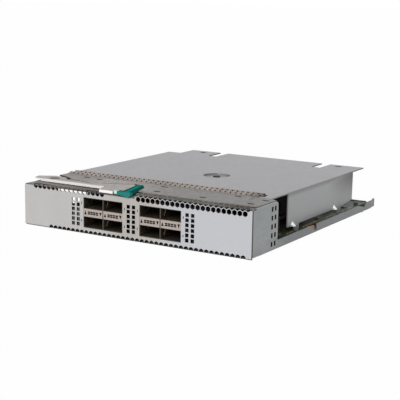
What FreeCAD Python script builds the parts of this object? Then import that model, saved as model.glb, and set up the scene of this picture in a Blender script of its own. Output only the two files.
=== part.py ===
# Half-width switch line card with eight stacked module ports, an ejector lever and an inset air cover.
# Millimetres. Origin: middle of the faceplate's outer face at its underside. +Y into the chassis, +Z up.
import FreeCAD, Part
import math
import os

import Sketcher

os.makedirs("parts", exist_ok=True)

# Driving dimensions: alias, value, meaning
SIZES = [
    ("face_width", 210.0, "width of the faceplate"),
    ("face_height", 37.1, "height of the faceplate right of the lever"),
    ("face_sheet", 1.2, "faceplate sheet"),
    ("face_bend", 0.9, "flat across the faceplate's bends"),
    ("face_corner", 1.8, "radius of the two left corners"),
    ("face_flange", 13.3, "depth of the faceplate's top and bottom returns"),
    ("return_start", 1.6, "where the bottom return's sloped ends begin, from the face"),
    ("return_slope", 7.0, "narrowing of the bottom return at each sloped end"),
    ("lever_floor", 34.4, "height of the faceplate under the lever"),
    ("lever_bay", 108.4, "width of the lever bay from the left edge"),
    ("vent_flat", 3.85, "hexagonal vent across flats"),
    ("vent_pitch", 4.405, "vent pitch along a row"),
    ("vent_drop", 3.7, "full vent row below the top edge"),
    ("vent_edge", 5.9, "last vent to the right edge"),
    ("bay_vent_start", 11.6, "first vent over the bay, from the left edge"),
    ("bay_vent_end", 79.0, "last vent over the bay, from the left edge"),
    ("bay_vent_drop", 1.0, "vent row below the bay's floor bend"),
    ("vent_allowance", 0.7, "extra step of the bay's vents past the bend"),
    ("low_vent_start", 27.2, "first bottom vent, from the left edge"),
    ("low_vent_rise", 0.9, "bottom vent row above the underside"),
    ("square_vent", 3.0, "square vent"),
    ("square_pitch", 4.85, "square vent column pitch"),
    ("square_step", 3.84, "square vent row pitch"),
    ("square_low", 7.4, "lowest square vent row"),
    ("square_group", 52.9, "spacing of the square vent groups"),
    ("tick_width", 0.6, "alignment slit width"),
    ("tick_height", 2.1, "alignment slit height"),
    ("tick_gap", 2.0, "alignment slit to the port window"),
    ("cage_spacing", 53.2, "spacing of the two port clusters"),
    ("cage_width", 37.2, "width of one port cluster"),
    ("cage_depth", 50.0, "depth of one port cluster"),
    ("cage_wall", 0.4, "cage sheet"),
    ("cage_web", 0.9, "web between two port columns"),
    ("cage_top", 29.2, "top of the port cluster"),
    ("cage_front", 0.4, "cage front set back in the window"),
    ("port_height", 8.2, "height of one port mouth"),
    ("port_depth", 40.0, "depth of one port"),
    ("bar_plate", 0.25, "thickness of a light bar's front plate"),
    ("bar_split", 0.7, "gap between the front plates of two light bars"),
    ("fit_gap", 0.1, "gap between neighbouring sheet edges"),
    ("tray_sheet", 1.0, "tray sheet"),
    ("tray_length", 234.0, "rear edge of the tray floor"),
    ("tray_joggle", 2.0, "side flanges outside the tray floor's flat"),
    ("plate_seam", 0.8, "open seam between the faceplate and the side plates"),
    ("side_depth", 41.0, "rear edge of the tall side plates"),
    ("side_corner", 3.0, "radius of the side plate's rear corner"),
    ("rail_top", 7.3, "top edge of the side rails"),
    ("rail_notch", 95.6, "front of the rail notch"),
    ("rail_notch_end", 112.0, "rear of the rail notch"),
    ("rail_lift", 0.4, "rise of the rail's lower edge behind its notch"),
    ("rail_end", 198.0, "rear end of the rail's level top edge"),
    ("tooth_y", 207.4, "small tooth under the rail from the face"),
    ("ear_front", 213.0, "front of the rear ear"),
    ("ear_top", 9.0, "top of the rear ear"),
    ("ear_end", 236.0, "rear edge of the rear ear"),
    ("slot_high", 3.7, "side slot height"),
    ("slot_wide", 2.5, "side slot width"),
    ("slot_pitch", 6.65, "side slot row pitch"),
    ("slot_low", 5.8, "lowest side slot centre"),
    ("slot_front", 31.5, "front column of side slots"),
    ("slot_column", 5.1, "spacing of the two slot columns"),
    ("cover_sheet", 1.0, "cover sheet"),
    ("cover_inset", 8.8, "cover walls inside the faceplate's side edges"),
    ("cover_slit", 1.3, "slit between the cover and the right side plate"),
    ("slit_front", 6.2, "front end of that slit"),
    ("cover_length", 228.0, "rear edge of the cover"),
    ("cover_step", 45.0, "rear end of the cover's full width"),
    ("cover_slot", 6.0, "length of the cover's front slots"),
    ("cover_slot_wide", 2.5, "width of the cover's front slots"),
    ("rear_hole", 2.2, "radius of the cover's two rear holes"),
    ("cover_skirt", 15.0, "height of the cover's right front skirt"),
    ("wall_front", 75.5, "front edge of the cover's walls"),
    ("wall_rear", 204.0, "rear edge of the cover's walls"),
    ("wall_low", 9.5, "underside of the cover's walls"),
    ("foot_width", 8.8, "width of a wall foot"),
    ("foot_front", 87.7, "front edge of the first foot"),
    ("foot_pitch", 82.7, "spacing of the two feet"),
    ("dart_lead", 1.8, "second dart further ahead of its foot"),
    ("dart_radius", 3.7, "radius of the pressed dart in front of a foot"),
    ("dart_height", 4.3, "height of the pressed dart"),
    ("notch_depth", 23.8, "depth of the cover's rear notches"),
    ("notch_width", 8.7, "width of the cover's rear notches"),
    ("notch_left", 52.5, "left rear notch from the left edge"),
    ("notch_right", 49.5, "right rear notch from the right edge"),
    ("shoulder_in", 21.5, "cover behind its step from the left edge"),
    ("dimple_x", 10.4, "dished screw seat from the middle"),
    ("dimple_y", 112.0, "dished screw seat from the face"),
    ("dimple_radius", 11.5, "radius of the dished screw seat"),
    ("dimple_drop", 1.5, "depth of the dished screw seat"),
    ("dimple_slope", 2.2, "width of the dished seat's slope"),
    ("strip_front", 45.4, "front edge of the spring finger strip"),
    ("strip_depth", 13.2, "depth of the spring finger strip"),
    ("strip_right", 20.0, "spring finger strip's right end from the right edge"),
    ("strip_sheet", 0.3, "spring finger sheet"),
    ("strip_arch", 0.9, "rise of the strip's two ridges"),
    ("ridge_front", 1.6, "first ridge from the strip's front edge"),
    ("ridge_step", 7.0, "spacing of the strip's two ridges"),
    ("ridge_slope", 1.3, "width of a ridge's slope"),
    ("ridge_flat", 1.6, "flat on top of a ridge"),
    ("finger_pitch", 4.6, "spring finger pitch"),
    ("finger_slit", 1.3, "slit between two fingers"),
    ("board_sheet", 2.0, "main board thickness"),
    ("board_rise", 2.1, "main board above the tray floor"),
    ("board_inset", 6.0, "main board inside the faceplate's side edges"),
    ("board_front", 2.0, "front edge of the main board"),
    ("board_rear", 233.0, "rear edge of the main board"),
    ("lever_sheet", 1.2, "ejector lever sheet"),
    ("lever_lip", 2.2, "height of the lever's turned-down lip"),
    ("pivot_in", 15.0, "lever pivot from the left edge"),
    ("pivot_y", 20.0, "lever pivot from the face"),
    ("pivot_radius", 2.5, "lever pivot pin radius"),
    ("pivot_head", 4.3, "lever pivot head radius"),
    ("pivot_gap", 0.05, "running gap of the pivots"),
    ("lever_gap", 1.0, "gap between the lever and the cover"),
    ("arm_front", 12.9, "front edge of the lever's arm"),
    ("paddle_left", 33.7, "left end of the lever's wide front from the bay's right wall"),
    ("paddle_right", 21.0, "right end of the lever's wide front from the bay's right wall"),
    ("grip_cut", 4.0, "depth of the lever's cut for the latch's grip"),
    ("grip_left", 15.7, "left end of the latch's grip from the bay's right wall"),
    ("tongue_left", 19.0, "left end of the latch's tongue from the bay's right wall"),
    ("grip_out", 1.4, "latch's grip in front of the face"),
    ("latch_rise", 0.8, "latch above the lever"),
    ("latch_pin_in", 14.4, "latch pin from the bay's right wall"),
    ("latch_pin_y", 25.0, "latch pin from the face"),
    ("latch_pin_radius", 1.3, "latch pin radius"),
    ("screw_radius", 1.5, "small screw shank radius"),
    ("screw_head", 2.8, "small screw head radius"),
    ("screw_head_rise", 1.2, "small screw head height"),
    ("sink_height", 20.0, "heat sink height"),
    ("sink_base", 3.0, "heat sink base"),
    ("sink_fin", 1.2, "heat sink fin thickness"),
    ("sink_pitch", 4.0, "heat sink fin pitch"),
    ("chip_height", 2.2, "chip height"),
    ("plug_height", 17.0, "backplane connector height"),
    ("guide_radius", 3.5, "guide socket bore radius"),
    ("guide_depth", 16.0, "guide socket bore depth"),
]


class Size:
    """A length that knows its number and the expression that gives it from the sheet."""

    def __init__(self, value, text):
        self.value = value
        self.text = text

    def __add__(self, other):
        other = as_size(other)
        return Size(self.value + other.value, "(%s + %s)" % (self.text, other.text))

    def __sub__(self, other):
        other = as_size(other)
        return Size(self.value - other.value, "(%s - %s)" % (self.text, other.text))

    def __mul__(self, factor):
        return Size(self.value * factor, "(%s * %r)" % (self.text, factor))

    def __truediv__(self, factor):
        return Size(self.value / factor, "(%s / %r)" % (self.text, factor))

    def __neg__(self):
        return Size(-self.value, "(0 - %s)" % self.text)

    def __radd__(self, other):
        return as_size(other) + self

    def __rsub__(self, other):
        return as_size(other) - self


def as_size(value):
    """A plain number becomes a Size, and a Size stays as it is."""
    return value if isinstance(value, Size) else Size(float(value), repr(float(value)))


doc = FreeCAD.newDocument("SwitchLineCard")
sheet = doc.addObject("Spreadsheet::Sheet", "Sizes")
d = {}
for row, (alias, value, meaning) in enumerate(SIZES, start=1):
    sheet.set("A%d" % row, meaning)
    sheet.set("B%d" % row, str(value))
    sheet.setAlias("B%d" % row, alias)
    d[alias] = Size(value, "Sizes." + alias)
doc.recompute()

# Levels and edges that several pieces share
half = d["face_width"] / 2
tray_low = as_size(0)
tray_floor = tray_low + d["tray_sheet"]
board_low = tray_floor + d["board_rise"]
board_top = board_low + d["board_sheet"]
cover_low = d["face_height"] - d["cover_sheet"]
bay_right = d["lever_bay"] - half
bay_under = d["lever_floor"] - d["face_sheet"]
side_inner = half - d["tray_sheet"]
cover_half = half - d["cover_inset"]
cover_wide = side_inner - d["cover_slit"]
board_half = half - d["board_inset"]
pivot_x = -half + d["pivot_in"]
paddle_left = bay_right - d["paddle_left"]
paddle_right = bay_right - d["paddle_right"]
plate_front = d["face_sheet"] + d["plate_seam"]
joggle_inner = side_inner - d["tray_joggle"]
joggle_top = tray_floor + d["tray_sheet"]
latch_pin_x = bay_right - d["latch_pin_in"]
notch_left = -half + d["notch_left"]
notch_right = half - d["notch_right"]
shoulder_left = -half + d["shoulder_in"]
strip_right = half - d["strip_right"]
cover_front = d["face_flange"] + d["fit_gap"] * 3
lever_top = d["face_height"]
lever_low = lever_top - d["lever_sheet"]
latch_top = lever_top + d["latch_rise"]
latch_low = lever_top - d["lever_lip"]
cage_low = board_top
strip_rear = d["strip_front"] + d["strip_depth"]
nodes = []


def vector(x, y, z):
    """A FreeCAD vector from plain numbers or sizes."""
    return FreeCAD.Vector(as_size(x).value, as_size(y).value, as_size(z).value)


def rectangle(u, v):
    """A closed loop from two (low, high) pairs."""
    return [(u[0], v[0]), (u[1], v[0]), (u[1], v[1]), (u[0], v[1])]


def ring(x, y, radius, sides):
    """A regular loop around a point, for small holes and round forms with few facets."""
    turn = 2 * math.pi / sides
    corners = []
    for index in range(sides):
        angle = turn * (index + 0.5)
        corners.append((x + as_size(radius) * math.cos(angle), y + as_size(radius) * math.sin(angle)))
    return corners


def centred(middle, width):
    """A (low, high) pair around a middle."""
    return (middle - as_size(width) / 2, middle + as_size(width) / 2)


class Piece:
    """One piece made from padded and pocketed sketches, with every point bound to the sheet."""

    planes = {"XY": "XY_Plane", "XZ": "XZ_Plane", "YZ": "YZ_Plane"}

    def __init__(self, name):
        self.body = doc.addObject("PartDesign::Body", name)
        self.body.Label = name

    def sketch(self, plane, level, loops):
        """Closed loops of (u, v) points, or (u, v, radius) circles, on a plane at a level."""
        outline = self.body.newObject("Sketcher::SketchObject", self.body.Name + "_outline")
        features = self.body.Origin.OriginFeatures
        base = [item for item in features if item.Role == self.planes[plane]][0]
        outline.AttachmentSupport = (base, [""])
        outline.MapMode = "FlatFace"
        outline.setExpression("AttachmentOffset.Base.z", level.text)
        for loop in loops:
            if isinstance(loop, tuple):
                self.circle(outline, *loop)
            else:
                self.polygon(outline, loop)
        return outline

    def bind(self, outline, kind, geometry, point, size):
        """Hold one point's coordinate at a size."""
        held = Sketcher.Constraint(kind, -1, 1, geometry, point, size.value)
        outline.setExpression("Constraints[%d]" % outline.addConstraint(held), size.text)

    def circle(self, outline, u, v, radius):
        u, v, radius = as_size(u), as_size(v), as_size(radius)
        ring = Part.Circle(FreeCAD.Vector(u.value, v.value, 0), FreeCAD.Vector(0, 0, 1), radius.value)
        geometry = outline.addGeometry(ring, False)
        self.bind(outline, "DistanceX", geometry, 3, u)
        self.bind(outline, "DistanceY", geometry, 3, v)
        held = outline.addConstraint(Sketcher.Constraint("Radius", geometry, radius.value))
        outline.setExpression("Constraints[%d]" % held, radius.text)

    def polygon(self, outline, points):
        points = [(as_size(u), as_size(v)) for u, v in points]
        corners = [FreeCAD.Vector(u.value, v.value, 0) for u, v in points]
        first = outline.GeometryCount
        count = len(points)
        for index in range(count):
            side = Part.LineSegment(corners[index], corners[(index + 1) % count])
            outline.addGeometry(side, False)
        for index in range(count):
            following = first + (index + 1) % count
            outline.addConstraint(Sketcher.Constraint("Coincident", first + index, 2, following, 1))
            self.bind(outline, "DistanceX", first + index, 1, points[index][0])
            self.bind(outline, "DistanceY", first + index, 1, points[index][1])

    def pad(self, plane, low, high, loops):
        """Add material between two levels."""
        low, high = as_size(low), as_size(high)
        added = self.body.newObject("PartDesign::Pad", self.body.Name + "_pad")
        added.Profile = self.sketch(plane, -low if plane == "XZ" else low, loops)
        added.setExpression("Length", (high - low).text)
        added.Reversed = plane == "XZ"
        return self

    def pocket(self, plane, low, high, loops):
        """Take material away between two levels."""
        low, high = as_size(low), as_size(high)
        doc.recompute()
        before = self.body.Shape.Volume
        taken = self.body.newObject("PartDesign::Pocket", self.body.Name + "_pocket")
        taken.Profile = self.sketch(plane, -low if plane == "XZ" else high, loops)
        taken.setExpression("Length", (high - low).text)
        doc.recompute()
        if not self.body.Shape.Volume < before:
            raise RuntimeError("a pocket of %s removes nothing" % self.body.Label)
        return self

    def fillet(self, radius, chosen):
        """Round the straight edges that the given test chooses by their two ends."""
        doc.recompute()
        names = []
        for index, edge in enumerate(self.body.Shape.Edges, start=1):
            ends = [vertex.Point for vertex in edge.Vertexes]
            if len(ends) == 2 and chosen(ends[0], ends[1]):
                names.append("Edge%d" % index)
        base = self.body.Tip
        rounded = self.body.newObject("PartDesign::Fillet", self.body.Name + "_round")
        rounded.Base = (base, names)
        rounded.setExpression("Radius", as_size(radius).text)
        return self

    def done(self):
        nodes.append(self.body)
        return self.body


def block(name, x, y, z):
    """A bound Part box from three (low, high) pairs."""
    item = doc.addObject("Part::Box", name)
    for prop, axis, pair in (("Length", "x", x), ("Width", "y", y), ("Height", "z", z)):
        low, high = as_size(pair[0]), as_size(pair[1])
        item.setExpression(prop, (high - low).text)
        item.setExpression("Placement.Base." + axis, low.text)
    return item


def post(name, x, y, z, radius):
    """A bound upright Part cylinder between two heights."""
    item = doc.addObject("Part::Cylinder", name)
    low, high = as_size(z[0]), as_size(z[1])
    item.setExpression("Radius", as_size(radius).text)
    item.setExpression("Height", (high - low).text)
    item.setExpression("Placement.Base.x", as_size(x).text)
    item.setExpression("Placement.Base.y", as_size(y).text)
    item.setExpression("Placement.Base.z", low.text)
    return item


def prism(name, x, y, z, radius, sides):
    """A bound upright Part prism between two heights."""
    item = doc.addObject("Part::Prism", name)
    low, high = as_size(z[0]), as_size(z[1])
    item.Polygon = sides
    item.setExpression("Circumradius", as_size(radius).text)
    item.setExpression("Height", (high - low).text)
    item.setExpression("Placement.Base.x", as_size(x).text)
    item.setExpression("Placement.Base.y", as_size(y).text)
    item.setExpression("Placement.Base.z", low.text)
    return item


def joined(name, items):
    """Several items as one fused piece."""
    item = doc.addObject("Part::MultiFuse", name)
    item.Shapes = items
    return item


def grouped(name, items):
    """Separate solids that share one node."""
    item = doc.addObject("Part::Compound", name)
    item.Links = items
    return item


def less(name, base, tool):
    """One item with another cut from it."""
    item = doc.addObject("Part::Cut", name)
    item.Base = base
    item.Tool = tool
    return item


def feature(name, shape):
    """A piece whose shape is worked out from the sheet's values."""
    item = doc.addObject("Part::Feature", name)
    item.Shape = shape
    return item


def node(item, name):
    item.Label = name
    nodes.append(item)
    return item


# Faceplate: one folded sheet with honeycomb vents that run over its bends
def folded_wire(height):
    """The faceplate's section: front wall with a top and a bottom return and flattened bends."""
    sheet_size = d["face_sheet"].value
    bend = d["face_bend"].value
    depth = d["face_flange"].value
    top = as_size(height).value
    corners = [
        (depth, 0), (bend, 0), (0, bend), (0, top - bend), (bend, top), (depth, top),
        (depth, top - sheet_size), (sheet_size, top - sheet_size), (sheet_size, sheet_size),
        (depth, sheet_size),
    ]
    return Part.makePolygon([FreeCAD.Vector(0, y, z) for y, z in corners + corners[:1]])


def folded_length(height, left, right):
    """The folded section run between two sides."""
    face = Part.Face(folded_wire(height))
    face.translate(vector(left, 0, 0))
    return face.extrude(vector(as_size(right) - left, 0, 0))


def punch(corners, run):
    """A straight punch from its corners along a vector."""
    return Part.Face(Part.makePolygon(corners + corners[:1])).extrude(run)


def vent(x, along, top, reach):
    """Punches for one vent whose centre is a distance along the sheet from a bend: through the face below
    the bend, through the flange behind it, or folded over it. Reach is 1 at a top bend and -1 at the bottom."""
    flat = d["vent_flat"].value / 2
    radius = 2 * flat / math.sqrt(3)
    thick = d["face_sheet"].value
    outline = [(-flat, -radius / 2), (0, -radius), (flat, -radius / 2), (flat, radius / 2), (0, radius),
               (-flat, radius / 2)]
    if along + radius <= 0:
        corners = [FreeCAD.Vector(x + u, -thick, top + reach * (along + v)) for u, v in outline]
        return [punch(corners, FreeCAD.Vector(0, 3 * thick, 0))]
    if along - radius >= thick:
        corners = [FreeCAD.Vector(x + u, along + v, top - reach * 2 * thick) for u, v in outline]
        return [punch(corners, FreeCAD.Vector(0, 0, reach * 3 * thick))]
    beyond = top + reach * thick
    shoulder = top + reach * (along - radius / 2)
    corners = [(-flat, beyond), (-flat, shoulder), (0, top + reach * (along - radius)), (flat, shoulder),
               (flat, beyond)]
    corners = [FreeCAD.Vector(x + u, -thick, z) for u, z in corners]
    punches = [punch(corners, FreeCAD.Vector(0, 2 * thick, 0))]
    if along + radius > 1.6 * thick:
        tip = [(-flat, -thick), (-flat, thick), (0, along + radius), (flat, thick), (flat, -thick)]
        corners = [FreeCAD.Vector(x + u, y, top - reach * thick) for u, y in tip]
        punches.append(punch(corners, FreeCAD.Vector(0, 0, reach * 2 * thick)))
    return punches


def vent_rows():
    """All hexagonal vents: four rows over the top bend, two over the bay and one below."""
    pitch = d["vent_pitch"].value
    step = pitch * math.sqrt(3) / 2
    top = d["face_height"].value
    punches = []
    last = (half - d["vent_edge"]).value
    count = int((last - bay_right.value - d["vent_flat"].value * 0.6) / pitch) + 1
    for row in range(4):
        along = row * step - d["vent_drop"].value
        shift = 0.5 * pitch if row % 2 else 0.0
        for index in range(count + row % 2):
            punches += vent(last + shift - index * pitch, along, top, 1)
    first = (d["bay_vent_start"] - half).value
    floor = d["lever_floor"].value
    bay_count = int((d["bay_vent_end"] - d["bay_vent_start"]).value / pitch) + 1
    for row in range(2):
        along = row * step - d["bay_vent_drop"].value + (d["vent_allowance"].value if row else 0)
        shift = -0.5 * pitch if row % 2 else 0.0
        for index in range(bay_count):
            punches += vent(first + shift + index * pitch, along, floor, 1)
    start = (d["low_vent_start"] - half).value
    low_count = int((half.value - start - d["vent_flat"].value) / pitch) + 1
    for index in range(low_count):
        punches += vent(start + index * pitch, -d["low_vent_rise"].value, 0, -1)
    return punches


def face_box(x, z):
    """A punch through the face from two (low, high) pairs."""
    low = vector(x[0], -d["face_sheet"], z[0])
    width = (as_size(x[1]) - x[0]).value
    height = (as_size(z[1]) - z[0]).value
    return Part.makeBox(width, 3 * d["face_sheet"].value, height, low)


def folded_block():
    """The room inside the folded section's outline, which trims the bay's end wall to the bend."""
    outer = folded_wire(d["face_height"]).Vertexes[:6]
    corners = [vertex.Point for vertex in outer]
    block_face = Part.Face(Part.makePolygon(corners + corners[:1]))
    block_face.translate(vector(bay_right, 0, 0))
    return block_face.extrude(vector(d["face_sheet"], 0, 0))


def faceplate():
    left = folded_length(d["lever_floor"], -half, bay_right + d["face_sheet"])
    right = folded_length(d["face_height"], bay_right, half)
    riser_height = (d["face_height"] - bay_under).value
    riser = Part.makeBox(d["face_sheet"].value, d["face_flange"].value, riser_height,
                         vector(bay_right, 0, bay_under))
    solid = left.fuse([right, riser.common(folded_block())])
    corner = d["face_corner"].value
    for level, side in ((0, 1), (d["lever_floor"].value, -1)):
        cube = Part.makeBox(corner, d["face_flange"].value + 1, corner,
                            vector(-half, 0, min(level, level + side * corner)))
        axis = vector(-half + corner, 0, level + side * corner)
        drum = Part.makeCylinder(corner, d["face_flange"].value + 1, axis, FreeCAD.Vector(0, 1, 0))
        solid = solid.cut(cube.cut(drum))
    punches = vent_rows()
    square = d["square_vent"]
    for group in (-1, 0, 1):
        for side in (-0.5, 0.5):
            for row in range(6):
                x = d["square_group"] * group + d["square_pitch"] * side
                z = d["square_low"] + d["square_step"] * row
                punches.append(face_box(centred(x, square), centred(z, square)))
    for side in (-1, 1):
        middle = d["cage_spacing"] * (0.5 * side)
        gap = d["fit_gap"]
        window = centred(middle, d["cage_width"] + gap * 2)
        punches.append(face_box(window, (cage_low - gap, d["cage_top"] + gap)))
        for edge in (-1, 1):
            x = middle + (d["cage_width"] / 2 + d["tick_gap"]) * edge
            for row in (0.22, 0.8):
                z = cage_low + (d["cage_top"] - cage_low) * row
                punches.append(face_box(centred(x, d["tick_width"]), centred(z, d["tick_height"])))
    # The ends of the bottom return slope back, clear of the side flanges
    depth = d["face_flange"].value + 1
    for side in (-1, 1):
        corners = [(half.value + 1, d["return_start"].value), (half.value, d["return_start"].value),
                   ((half - d["return_slope"]).value, depth), (half.value + 1, depth)]
        wedge = Part.makePolygon([FreeCAD.Vector(side * x, y, -1) for x, y in corners + corners[:1]])
        punches.append(Part.Face(wedge).extrude(FreeCAD.Vector(0, 0, 1 + d["face_sheet"].value)))
    # The right side plate comes up through a notch in the top return
    room = d["face_sheet"].value * 2
    punches.append(Part.makeBox(
        (half - cover_wide).value + 1, d["face_flange"].value, room,
        vector(cover_wide, d["slit_front"] - d["fit_gap"], d["face_height"] - d["face_sheet"] * 1.5)))
    solid = solid.cut(punches).removeSplitter()
    node(feature("faceplate", solid), "faceplate")


# Base tray: floor, tall side plates with slots, low rails with a notch and rear ears
def side_outline(top):
    """Side flange in (y, z), from the tall front to the rear ear, without its front top corner."""
    low = d["face_sheet"]
    lifted = low + d["rail_lift"]
    rail = d["rail_top"]
    tooth = d["tooth_y"]
    notch = d["rail_notch_end"]
    ear = d["ear_front"]
    return [
        (plate_front, low), (notch, low), (notch, lifted), (tooth - 2.9, lifted), (tooth - 0.6, lifted - 1.1),
        (tooth + 0.8, lifted - 1.1), (tooth + 3, lifted), (d["ear_end"], lifted),
        (d["ear_end"], d["ear_top"] - 0.4), (d["ear_end"] - 2, d["ear_top"]),
        (d["ear_end"] - 4.6, d["ear_top"] - 1.2), (ear + 6, d["ear_top"] - 1.2), (ear, rail - 3.5),
        (ear - 4.3, rail - 1.8), (d["rail_end"] + 5.5, rail - 0.7),
        (d["rail_end"], rail), (notch, rail), (notch, joggle_top), (notch - 0.8, joggle_top),
        (d["rail_notch"], rail), (d["side_depth"], rail), (d["side_depth"], top),
    ]


def tray_joggle(side):
    """The raised strip in (x, y) that joins the floor to a side flange."""
    inner, outer = joggle_inner * side, half * side
    behind = d["face_flange"] + d["fit_gap"]
    notch = d["rail_notch_end"]
    rear = d["tray_length"]
    return [
        (inner, behind), (outer, behind), (outer, notch),
        (side_inner * side, notch), (side_inner * side, rear), (inner, rear),
    ]


def base_tray():
    tray = Piece("base_tray")
    top = d["face_height"]
    flat = joggle_inner + d["tray_sheet"]
    floor = rectangle((-flat, flat), (d["face_flange"] + d["fit_gap"], d["tray_length"]))
    tray.pad("XY", tray_low, tray_floor, [floor])
    for side in (-1, 1):
        tray.pad("XY", tray_floor, joggle_top, [tray_joggle(side)])
    step_low = cover_low - d["fit_gap"] * 2
    step = [(d["slit_front"], top), (d["slit_front"], step_low), (plate_front, step_low)]
    tray.pad("YZ", side_inner, half, [side_outline(top) + step])
    tray.pad("YZ", -half, -side_inner, [side_outline(bay_under) + [(plate_front, bay_under)]])
    columns = [d["slot_front"], d["slot_front"] + d["slot_column"]]
    slots = []
    for y in columns:
        for row in range(5):
            z = d["slot_low"] + d["slot_pitch"] * row
            slots.append(rectangle(centred(y, d["slot_wide"]), centred(z, d["slot_high"])))
    tray.pocket("YZ", side_inner - 1, half + 1, slots)
    short = slots[0:4] + slots[5:9]
    tray.pocket("YZ", -half - 1, -side_inner + 1, short)
    depth = d["side_depth"].value

    def rear_corner(a, b):
        upright = abs(a.y - depth) < 0.01 and abs(b.y - depth) < 0.01
        return upright and abs(a.z - b.z) < 0.01 and a.z > d["rail_top"].value + 1

    tray.fillet(d["side_corner"], rear_corner)
    tray.done()


# Cover: one sheet over the card, inset walls with feet, rear notches and a dished screw seat
# Slots and holes, each as how far in from its own side edge and how far back from the face
RIGHT_SLOTS = ((94, 19.5), (53, 19.5), (12, 19.5), (100.2, 39.5), (33.8, 39.5), (8.7, 36.8))
LEFT_SLOTS = ((34.3, 38.4), (48, 36.5))
REAR_HOLES = ((38.4, 219), (30, 220))
# The slot along the card: in from the right edge, width, front and rear
LONG_SLOT = (20.4, 0.8, 32.6, 41.2)
# The cut at the finger strip's right end: how far past the strip, and back from the face
STRIP_END = ((0.5, 47.5), (4.0, 48.5), (3.0, 57.0), (0.5, 56.5))


def lever_edge():
    """The cover's edge along the lever bay, from the left edge round the latch to the front."""
    gap = d["lever_gap"]
    return [
        (-cover_half, d["pivot_y"] + 14), (pivot_x + 2, d["pivot_y"] + 12.2),
        (pivot_x + 11, d["pivot_y"] + 7.5), (pivot_x + 14, d["arm_front"] + 8.8 + gap),
        (bay_right - 55.9, d["arm_front"] + 6.3 + gap), (bay_right - 23.9, d["arm_front"] + 21.3 + gap),
        (bay_right - 16.2, d["arm_front"] + 21.3 + gap), (bay_right - 11.4, d["latch_pin_y"] + 4.6),
        (bay_right - 8.5, d["latch_pin_y"]), (bay_right - 5.6, cover_front),
    ]


def top_cover():
    cover = Piece("cover_sheet_fold")
    sheet_size = d["cover_sheet"]
    wide = cover_wide
    rear = d["cover_length"]
    inner = rear - d["notch_depth"]
    outline = lever_edge() + [
        (wide, cover_front),
        (wide, d["cover_step"] - 3), (cover_half, d["cover_step"]), (cover_half, rear),
        (notch_right + d["notch_width"], rear), (notch_right + d["notch_width"], inner),
        (notch_right, inner), (notch_right, rear),
        (notch_left + d["notch_width"], rear), (notch_left + d["notch_width"], inner),
        (notch_left, inner), (notch_left, rear),
        (shoulder_left, rear), (shoulder_left, d["wall_rear"]), (-cover_half, d["wall_rear"]),
    ]
    cover.pad("XY", cover_low, d["face_height"], [outline])
    foot_low = tray_floor
    feet = []
    for index in (0, 1):
        front = d["foot_front"] + d["foot_pitch"] * index
        feet.append((front, front + d["foot_width"]))
    wall = [(d["wall_front"], cover_low), (d["wall_front"], d["wall_low"])]
    for front, back in feet:
        wall += [(front, d["wall_low"]), (front, foot_low), (back, foot_low), (back, d["wall_low"])]
    wall += [(d["wall_rear"], d["wall_low"] + 2.4), (d["wall_rear"], cover_low)]
    cover.pad("YZ", cover_half - sheet_size, cover_half, [wall])
    cover.pad("YZ", -cover_half, -cover_half + sheet_size, [wall])
    skirt = rectangle((cover_front, d["side_depth"] - 4), (cover_low - d["cover_skirt"], cover_low))
    cover.pad("YZ", wide - sheet_size, wide, [skirt])
    slots = []
    for edge, side, spots in ((half, -1, RIGHT_SLOTS), (-half, 1, LEFT_SLOTS)):
        for x, y in spots:
            across = centred(edge + x * side, d["cover_slot"])
            slots.append(rectangle(across, centred(as_size(y), d["cover_slot_wide"])))
    inset, narrow, front, back = LONG_SLOT
    slots.append(rectangle(centred(half - inset, narrow), (front, back)))
    slots.append([(strip_right + x, y) for x, y in STRIP_END])
    cover.pocket("XY", cover_low - 0.5, d["face_height"] + 0.5, slots)
    (left_x, left_y), (right_x, right_y) = REAR_HOLES
    holes = [ring(-half + left_x, left_y, d["rear_hole"], 10), ring(half - right_x, right_y, d["rear_hole"], 10)]
    cover.pocket("XY", cover_low - 0.5, d["face_height"] + 0.5, holes)
    # The dished seat: a shallow pan under the sheet, with a sloping side and a hole for its screw
    seat_x, seat_y = d["dimple_x"], d["dimple_y"]
    floor = d["face_height"] - d["dimple_drop"]
    cover.pad("XY", floor - sheet_size, cover_low, [ring(seat_x, seat_y, d["dimple_radius"] + 0.4, 20)])
    steps = 3
    for index in range(steps):
        radius = d["dimple_radius"] - d["dimple_slope"] * (index / steps)
        low = d["face_height"] - d["dimple_drop"] * ((index + 1) / steps)
        cover.pocket("XY", low, d["face_height"] + 0.5, [ring(seat_x, seat_y, radius, 20)])
    screw_hole = ring(seat_x, seat_y, d["screw_radius"] + 0.2, 8)
    cover.pocket("XY", floor - sheet_size * 2, floor + 0.5, [screw_hole])
    darts = []
    for side in (-1, 1):
        for index, (front, back) in enumerate(feet):
            darts.append(dart(side, front - d["dart_radius"] - 0.2 - d["dart_lead"] * index))
    node(joined("top_cover_whole", [cover.body] + darts), "top_cover")


def dart(side, y):
    """A half cone with few facets, pressed outwards at a wall's lower edge."""
    radius = d["dart_radius"].value
    x = (cover_half - d["cover_sheet"] * 0.5).value
    low = d["wall_low"].value
    middle = as_size(y).value
    rim = []
    for turn in (-90, -45, 0, 45, 90):
        angle = math.radians(turn)
        out, along = radius * math.cos(angle), radius * math.sin(angle)
        rim.append(FreeCAD.Vector(side * (x + out), middle + along, low))
    tip = FreeCAD.Vector(side * (x + 0.1), middle, low + d["dart_height"].value)
    faces = [Part.Face(Part.makePolygon(rim + rim[:1]))]
    for first, second in zip(rim, rim[1:] + rim[:1]):
        faces.append(Part.Face(Part.makePolygon([first, second, tip, first])))
    solid = Part.Solid(Part.makeShell(faces))
    if solid.Volume < 0:
        solid.reverse()
    return feature("dart", solid)


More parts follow.
